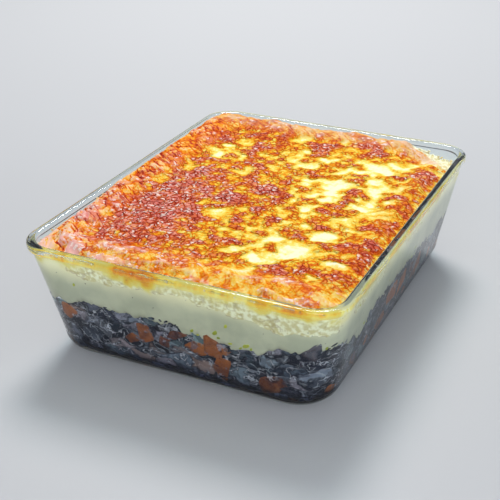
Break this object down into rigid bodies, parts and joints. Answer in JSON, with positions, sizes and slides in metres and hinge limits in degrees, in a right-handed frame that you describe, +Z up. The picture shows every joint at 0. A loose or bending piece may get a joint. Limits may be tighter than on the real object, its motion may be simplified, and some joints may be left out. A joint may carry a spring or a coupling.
{
  "type": "shepherd's pie in a glass dish",
  "caption": "Baked shepherd's pie with a browned cheese-topped mash crust over a meat and vegetable filling, in a clear rectangular glass dish.",
  "frame": {"origin": "middle of the dish's footprint, on the surface it stands on", "axes": "+X across the dish to its right side, +Y along the dish from its front to its back, +Z up"},
  "size_m": [0.2, 0.262, 0.074],
  "materials": {
    "glass": "clear pressed glass, glossy",
    "filling": "moist minced meat, mushroom and onion with carrot dice",
    "mash": "mashed potato, cream at the sides, with a browned cheese crust on top"
  },
  "bodies": {
    "root": {"dish": "glass", "filling": "filling", "mash": "mash"}
  },
  "joints": []
}
